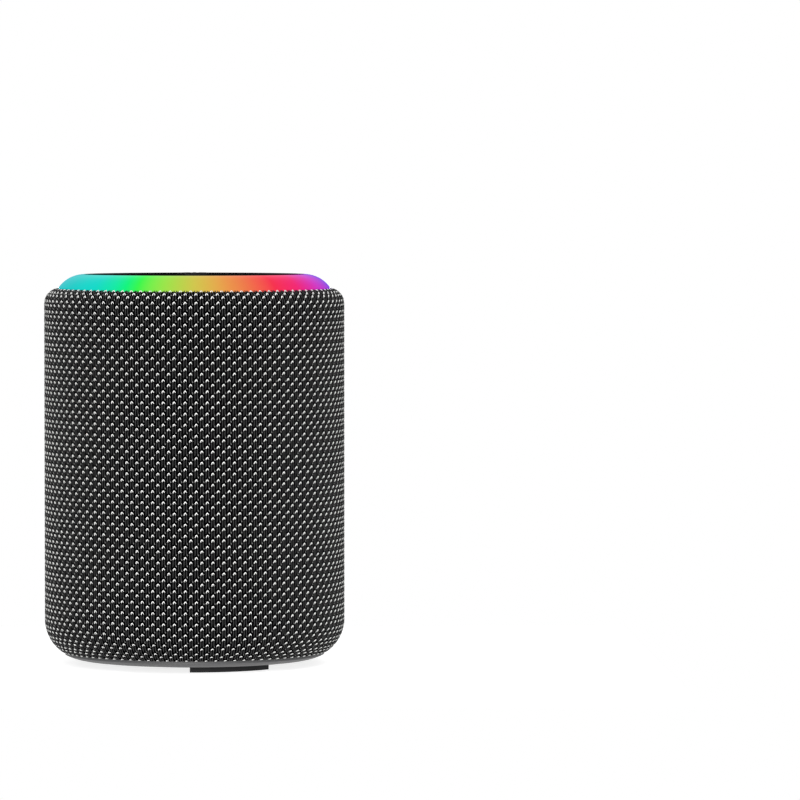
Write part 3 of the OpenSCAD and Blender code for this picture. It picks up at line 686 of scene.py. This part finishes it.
def stitch_piece(name, shape, knit, parity, stitch, material):
    """One kind of strand in every second wale: each lies at its wale's angle plus across / radius,
    its course's height plus up, and its depth less out. None is laid in the port opening."""
    step = 2 * math.pi / knit.wales
    wale = -math.pi / 2 + (np.arange(parity, knit.wales, 2) + knit.turn) * step
    first = shape.length_at(knit.course) - parity * knit.stagger * knit.pitch
    below = int(first / knit.pitch) + 1
    crest = first + np.arange(-below, int((shape.total - first) / knit.pitch) + 2) * knit.pitch
    edge = 0.2 * MM
    if stitch is HEAD:
        crest = crest[(crest > 0.9 * MM) & (crest < shape.total - 0.5 * MM)]
        up = np.broadcast_to(stitch[:, 1] * MM, (len(crest), len(stitch)))
    else:
        top = np.minimum(LEG_TOP * MM, shape.total - edge - crest)
        foot = np.maximum(LEG_FOOT * MM, edge - crest)
        crest, top, foot = (v[top - foot > 0.5 * MM] for v in (crest, top, foot))
        up = top[:, None] + (foot - top)[:, None] * stitch[None, :, 1]
    s = (crest[:, None] + up)[None]
    angle = wale[:, None, None] + (stitch[:, 0] * MM / shape.radius)[None, None]
    base = 0.33 * MM
    r, z, normal = shape.at(s, base - (stitch[:, 2] * MM)[None, None])
    paths = turned(r, z, angle)
    normals = turned(normal[..., 0], normal[..., 1], angle)
    half_angle, port_low, port_high = port_opening()
    middle = (paths[..., 2].min(2) + paths[..., 2].max(2)) / 2
    behind = np.abs(np.angle(np.exp(1j * (wale - math.pi / 2)))) < half_angle + 0.4 * step
    keep = ~(behind[:, None] & (middle > port_low - 0.5 * MM) & (middle < port_high + 0.5 * MM))
    points, faces, uv = strands(paths[keep], normals[keep], stitch[:, 3] * MM, sides=5)
    return make_piece(name, points, faces, material, uv=uv)


class SPEAKER_OT_sleeve(Operator):
    """Knit the sleeve: the backing, near-black as painted shade in the gaps, the light heads and the dark
    legs of every stitch
    """
    bl_idname = "speaker.sleeve"
    bl_label = "Knitted Sleeve"

    def execute(self, context):
        knit = context.scene.speaker_knit
        shape = SleeveShape(knit)
        # The backing is near-black as painted shade in the gaps between the stitches
        ground = shade_backing_piece(shape, knit, shade_backing_cloth("knit_shade_backing", knit.shade))
        light = yarn("yarn_light", knit.fleck, 0.03)
        dark = yarn("yarn_dark", knit.leg, 0.03)
        tipped = yarn("yarn_dark_tipped", knit.leg, 0.03, 0.5)
        kinds = {"heads": (HEAD, light), "left_legs": (LEFT_LEG, dark), "right_legs": (RIGHT_LEG, tipped)}
        loops = [stitch_piece(f"knit_{kind}_{side}", shape, knit, parity, stitch, material)
                 for parity, side in enumerate(("even", "odd"))
                 for kind, (stitch, material) in kinds.items()]
        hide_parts("fabric_sleeve")
        return {"FINISHED"}


# ---------- the control panel ----------

def to_segment(x, y, a, b):
    """Distance from points to the segment a-b: drop onto the line, clamp to its ends."""
    dx, dy = b[0] - a[0], b[1] - a[1]
    t = np.clip(((x - a[0]) * dx + (y - a[1]) * dy) / (dx * dx + dy * dy), 0, 1)
    return np.hypot(x - a[0] - t * dx, y - a[1] - t * dy)


def power_mark(x, y):
    """An open circle with a bar in its gap."""
    circle = np.abs(np.hypot(x, y) - 3.05)
    angle = np.abs(np.arctan2(x, y))
    gap = math.radians(34)
    end = 3.05 * np.array([math.sin(gap), math.cos(gap)])
    open_circle = np.where(angle > gap, circle, np.hypot(np.abs(x) - end[0], y - end[1]))
    return np.minimum(open_circle, to_segment(x, y, (0, 0.9), (0, 3.7)))


def play_mark(x, y):
    """The outline of a triangle that points to the right."""
    corners = [(-2.2, -2.85), (-2.2, 2.85), (2.9, 0)]
    edges = zip(corners, corners[1:] + corners[:1])
    return np.min([to_segment(x, y, a, b) for a, b in edges], axis=0)


def minus_mark(x, y):
    """One bar."""
    return to_segment(x, y, (-3.05, 0), (3.05, 0))


def plus_mark(x, y):
    """Two crossed bars."""
    return np.minimum(minus_mark(x, y), to_segment(x, y, (0, -3.05), (0, 3.05)))


def light_mark(x, y):
    """A circle with eight rays: the angle is folded into one eighth turn, so one ray serves for all."""
    angle = np.arctan2(y, x)
    fold = math.pi / 4
    angle = np.abs((angle + fold / 2) % fold - fold / 2)
    r = np.hypot(x, y)
    ray = to_segment(r * np.cos(angle), r * np.sin(angle), (2.9, 0), (3.7, 0))
    return np.minimum(np.abs(r - 1.25), ray)


MARKS = {"power": power_mark, "play": play_mark, "minus": minus_mark, "plus": plus_mark, "light": light_mark}


def lid(outline, level, rings, skirt):
    """A lid-shaped solid over a closed outline (n, 2) round the origin: rings of the outline shrunk
    towards the middle and raised to level(x, y), then the skirt's rings, each the outline shrunk by a
    factor at a level, and a point at each end. Returns points (x, y, level) and faces."""
    columns = len(outline)
    shrink = np.linspace(0, skirt[0][0], rings + 1)[1:]
    x, y = shrink[:, None] * outline[:, 0], shrink[:, None] * outline[:, 1]
    top = np.stack([x, y, level(x, y)], -1)
    side = np.array(skirt[1:])
    rest = np.concatenate([side[:, :1, None] * outline[None],
                           np.broadcast_to(side[:, 1, None, None], (len(side), columns, 1))], -1)
    middle = level(np.zeros(1), np.zeros(1))[0]
    ends = [[0, 0, middle], [0, 0, side[-1, 1]]]
    points = np.concatenate([top.reshape(-1, 3), rest.reshape(-1, 3), ends])
    rows = rings + len(side)
    here = np.arange(columns)
    there = (here + 1) % columns
    last = (rows - 1) * columns
    first_fan = np.stack([np.full(columns, rows * columns), here, there], -1)
    last_fan = np.stack([np.full(columns, rows * columns + 1), last + there, last + here], -1)
    return points, [grid_quads(rows, columns, wrap_columns=True)[:, ::-1], first_fan, last_fan]


def key_piece(name, mark, control, material):
    """A key: a round lid whose height is relief * smoothstep of the distance to the mark's strokes,
    with its side, its underside and its stem below."""
    low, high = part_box(f"key_{name}")
    radius = (high.x - low.x) / 2
    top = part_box("control_pad")[1].z
    relief = high.z - top
    half, soft = control.stroke / MM / 2, control.soft / MM

    def level(x, y):
        return top + relief * (1 - smoothstep(half - soft / 2, half + soft / 2, mark(x / MM, y / MM)))

    columns, rings = 280, 56
    angle = np.arange(columns) * 2 * math.pi / columns
    outline = radius * np.stack([np.cos(angle), np.sin(angle)], -1)
    skirt = [(0.99, 0), (1, top - 0.06 * MM), (1, top - 1.55 * MM), (0.99, top - 1.6 * MM),
             (0.4, top - 1.6 * MM), (0.4, low.z)]
    points, faces = lid(outline, level, rings, skirt)
    points[:, :2] += ((low + high) / 2)[:2]
    piece = make_piece(f"{name}_key", points, faces, material, body=f"key_{name}")
    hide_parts(f"key_{name}")
    return piece


def web_piece(name, material):
    """The thin silicone web between a key and the pad: a closed ring whose top slopes down by 0.02 mm
    from its outer edge to its inner edge."""
    low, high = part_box(f"key_{name}")
    centre = (low + high) / 2
    radius = (high.x - low.x) / 2
    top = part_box("control_pad")[1].z
    steps = np.linspace(0, 1, 7)
    upper = np.stack([radius + (0.22 - 0.36 * steps) * MM, top - (0.004 + 0.02 * steps) * MM], -1)
    lower = upper[::-1] - np.array([0, 0.25 * MM])
    points, faces = revolve(np.concatenate([upper, lower]), 180, centre[:2])
    piece = make_piece(f"{name}_key_web", points, [faces], material)
    piece.parent = None
    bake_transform(piece)
    return piece


class SPEAKER_OT_keys(Operator):
    """Make the five keys with their raised marks, and the webs that join them to the pad"""
    bl_idname = "speaker.keys"
    bl_label = "Keys"

    def execute(self, context):
        control = context.scene.speaker_control
        material = bpy.data.materials["pad_silicone"]
        for name, mark in MARKS.items():
            key_piece(name, mark, control, material)
            web_piece(name, material)
        return {"FINISHED"}


# ---------- the port flap ----------

def rounded_box(x, y, half_x, half_y, corner):
    """Distance outside (positive) or inside (negative) a rounded rectangle."""
    dx, dy = np.abs(x) - half_x + corner, np.abs(y) - half_y + corner
    return np.hypot(np.maximum(dx, 0), np.maximum(dy, 0)) + np.minimum(np.maximum(dx, dy), 0) - corner


class SPEAKER_OT_flap(Operator):
    """Make the rubber flap: a raised border, a sunken field, three grip ridges and a thumb notch"""
    bl_idname = "speaker.flap"
    bl_label = "Port Flap"

    def execute(self, context):
        low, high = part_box("port_cover")
        half = (high.x - low.x) / 2, (high.z - low.z) / 2
        corner = 2 * MM
        columns, rings = 480, 60
        turn = np.arange(columns) * 2 * math.pi / columns
        ray = np.stack([np.cos(turn), np.sin(turn)], -1)
        reach = np.zeros(columns)
        for _ in range(60):
            reach -= rounded_box(ray[:, 0] * reach, ray[:, 1] * reach, *half, corner)
        inner, outer = high.y - 1.4 * MM, high.y

        def level(x, y):
            edge = -rounded_box(x, y, *half, corner)
            field = smoothstep(0.9 * MM, 1.3 * MM, edge)
            grip = np.cos(np.clip((y + 2.6 * MM) / (1.4 * MM), -1.5, 1.5) * 2 * math.pi) * 0.5 + 0.5
            grip *= 1 - smoothstep(4.2 * MM, 5 * MM, np.abs(x))
            notch = (1 - smoothstep(0, 3.2 * MM, np.abs(x))) * smoothstep(0.6 * half[1], half[1], -y)
            round_off = 0.3 * MM * (1 - np.sqrt(1 - (1 - np.clip(edge / (0.3 * MM), 0, 1)) ** 2))
            return outer - 0.22 * MM * field * (1 - grip) - 0.5 * MM * notch - round_off

        skirt = [(1, 0), (1, (inner + outer) / 2), (1, inner), (0.97, inner), (0.6, inner), (0.3, inner)]
        points, faces = lid(ray * reach[:, None], level, rings, skirt)
        arc, up, radius = points[:, 0], points[:, 1], points[:, 2]
        lean = np.arcsin(np.clip(arc / outer, -1, 1))
        points = np.stack([radius * np.sin(lean), radius * np.cos(lean), (low.z + high.z) / 2 + up], -1)
        piece = make_piece("flap", points, [f[:, ::-1] for f in faces],
                           bpy.data.materials["flap_rubber"], body="port_flap")
        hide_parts("port_cover")
        return {"FINISHED"}


# ---------- the soft rings of the driver and the radiator ----------

def band(path, thickness):
    """A closed profile round a path of (r, height): the path moved half the thickness to each side,
    along its own normal. It runs anticlockwise when the path goes outwards."""
    along = np.gradient(path, axis=0)
    normal = np.stack([along[:, 1], -along[:, 0]], -1) / np.linalg.norm(along, axis=1, keepdims=True)
    return np.concatenate([path + normal * thickness / 2, (path - normal * thickness / 2)[::-1]])


def roll_path(middle, radius, foot, lip):
    """A half circle of that radius over (middle, foot), going outwards, after a lip's points."""
    angle = np.linspace(math.pi, 0, 25)
    arc = np.stack([middle + radius * np.cos(angle), foot + radius * np.sin(angle)], -1)
    return np.concatenate([np.array(lip), arc])


def soft_ring(node, path, thickness, facing, material):
    """A soft ring in a round opening that faces along Y: the profile carried round that axis. Lengths are
    in millimetres, and heights are out of the seat."""
    cad_low, cad_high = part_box(node)
    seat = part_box("driver_gasket")[0].y if facing < 0 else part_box("radiator_frame")[0].y
    axis_z = (cad_low.z + cad_high.z) / 2
    points, faces = revolve(band(path * MM, thickness * MM), 160)
    points = np.stack([points[:, 0], seat + facing * points[:, 2], axis_z - facing * points[:, 1]], -1)
    piece = make_piece(f"{node}_soft", points, [faces], material)
    piece.parent = None
    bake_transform(piece)
    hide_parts(node)
    return piece


class SPEAKER_OT_suspension(Operator):
    """Make the rolls round the cone and the radiator's plate, and the corrugated spider"""
    bl_idname = "speaker.suspension"
    bl_label = "Suspension"

    def execute(self, context):
        surround = bpy.data.materials["surround_rubber"]
        driver_roll = roll_path(20.3, 1.37, -0.42, [(17.5, -1.05), (18.2, -0.62), (18.7, -0.42)])
        soft_ring("driver_surround", driver_roll, 0.42, -1, surround)
        radiator_roll = roll_path(17.75, 1.87, 0.02, [(14.6, -0.3), (15.2, -0.3), (15.75, -0.2)])
        soft_ring("radiator_surround", radiator_roll, 0.5, 1, surround)
        reach = np.linspace(0, 1, 121)
        waves = np.stack([8.6 + 7.8 * reach, -9.85 + 0.8 * reach + 0.16 * np.sin(reach * 12 * math.pi)], -1)
        spider = soft_ring("driver_spider", waves, 0.3, -1,
                           bpy.data.materials["spider_weave"])
        return {"FINISHED"}


# ---------- the parts that keep their CAD shape ----------

class SPEAKER_OT_finishes(Operator):
    """Give every CAD part the finish of its slot in the record"""
    bl_idname = "speaker.finishes"
    bl_label = "Finishes"

    def execute(self, context):
        scene = context.scene
        made = finishes(scene.speaker_case, scene.speaker_control)
        for part in frame["record"]["subparts"]:
            if part["material_slot"] == "knit":
                continue
            mesh = frame["nodes"][part["node"]].data
            mesh.materials.clear()
            mesh.materials.append(made[part["material_slot"]])
        return {"FINISHED"}


# ---------- the stage ----------

def soft_box(name, place, target, size, power):
    """A rectangular area light at a place, facing a target. The camera doesn't see it."""
    data = bpy.data.lights.new(name, "AREA")
    data.shape = "RECTANGLE"
    data.size, data.size_y = size
    data.energy = power
    lamp = bpy.data.objects.new(name, data)
    lamp.visible_camera = False
    lamp.location = place
    lamp.rotation_euler = (Vector(target) - Vector(place)).to_track_quat("-Z", "Y").to_euler()
    bpy.context.scene.collection.objects.link(lamp)


def studio_sky():
    """A world that is white to the camera. Its light is even + front * (towards -Y) to the fourth
    + back * (towards +Y) * (towards +Z) + top * (towards +Z) squared."""
    even, front, back, top = 0.02, 2.6, 2.2, 0.15
    world = bpy.data.worlds.new("studio")
    sky = Graph(world, "ShaderNodeBackground", "ShaderNodeOutputWorld")
    _, y, z = sky.axes(sky.node("ShaderNodeTexCoord"))
    fore, aft, up = (sky.math("MAXIMUM", v, 0.0) for v in (-y, y, z))
    light = even + fore ** 4.0 * front + aft * up * back + up * up * top
    seen = sky.node("ShaderNodeLightPath")
    sky.put(sky.shader.inputs[0], (1, 1, 1))
    sky.put(sky.shader.inputs[1], light + seen * (1.0 - light))
    return world


class SPEAKER_OT_stage(Operator):
    """Set the camera, the soft lights and the pale floor"""
    bl_idname = "speaker.stage"
    bl_label = "Stage"

    def execute(self, context):
        scene = context.scene
        stage = scene.speaker_stage
        data = bpy.data.cameras.new("camera")
        data.lens = stage.lens
        data.sensor_width = 36.0
        camera = bpy.data.objects.new("camera", data)
        scene.collection.objects.link(camera)
        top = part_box("control_pad")[1].z
        camera.location = (0, -stage.distance, top + stage.rise)
        yaw, pitch = math.radians(2.14), math.radians(2.17)
        camera.rotation_euler = (math.pi / 2 - pitch, 0, -yaw)
        scene.camera = camera
        middle = (0, 0, top / 2)
        soft_box("key_light", (-0.15, -1.2, 0.42), middle, (0.5, 0.5), stage.key)
        rear, patch = stage.key * 0.5, stage.key * 0.1
        soft_box("rear_light", (0, 1.3, 0.055), (0, 0, 0.055), (0.5, 0.09), rear)
        soft_box("patch_light", (0.42, -0.42, 0.6), middle, (0.35, 0.2), patch)
        scene.world = studio_sky()
        scene.view_settings.view_transform = "Standard"
        half_side = 0.13
        corners = half_side * np.array([(-1, -1, 0), (1, -1, 0), (1, 1, 0), (-1, 1, 0)])
        mesh = bpy.data.meshes.new("floor")
        mesh.from_pydata(corners.tolist(), [], [(0, 1, 2, 3)])
        mesh.materials.append(floor_paint("floor_pale", stage.floor))
        floor = bpy.data.objects.new("floor", mesh)
        scene.collection.objects.link(floor)
        return {"FINISHED"}


class SPEAKER_PT_builder(Panel):
    """Lists the speaker's builders and their settings"""
    bl_idname = "SPEAKER_PT_builder"
    bl_label = "Speaker"
    bl_space_type = "VIEW_3D"
    bl_region_type = "UI"
    bl_category = "Speaker"

    def draw(self, context):
        for operator in OPERATORS:
            self.layout.operator(operator.bl_idname)
        for name, group in SETTINGS.items():
            box = self.layout.box()
            for field in group.__annotations__:
                box.prop(getattr(context.scene, f"speaker_{name}"), field)


OPERATORS = (SPEAKER_OT_stage, SPEAKER_OT_finishes, SPEAKER_OT_keys, SPEAKER_OT_flap,
             SPEAKER_OT_suspension, SPEAKER_OT_sleeve)
CLASSES = (*SETTINGS.values(), *OPERATORS, SPEAKER_PT_builder)


def register():
    for cls in CLASSES:
        bpy.utils.register_class(cls)
    for name, group in SETTINGS.items():
        setattr(bpy.types.Scene, f"speaker_{name}", PointerProperty(type=group))


def unregister():
    for name in SETTINGS:
        delattr(bpy.types.Scene, f"speaker_{name}")
    for cls in reversed(CLASSES):
        bpy.utils.unregister_class(cls)


def main():
    """Builds everything in order."""
    register()
    for operator in OPERATORS:
        getattr(bpy.ops.speaker, operator.bl_idname.split(".")[1])()


if __name__ == "__main__":
    main()
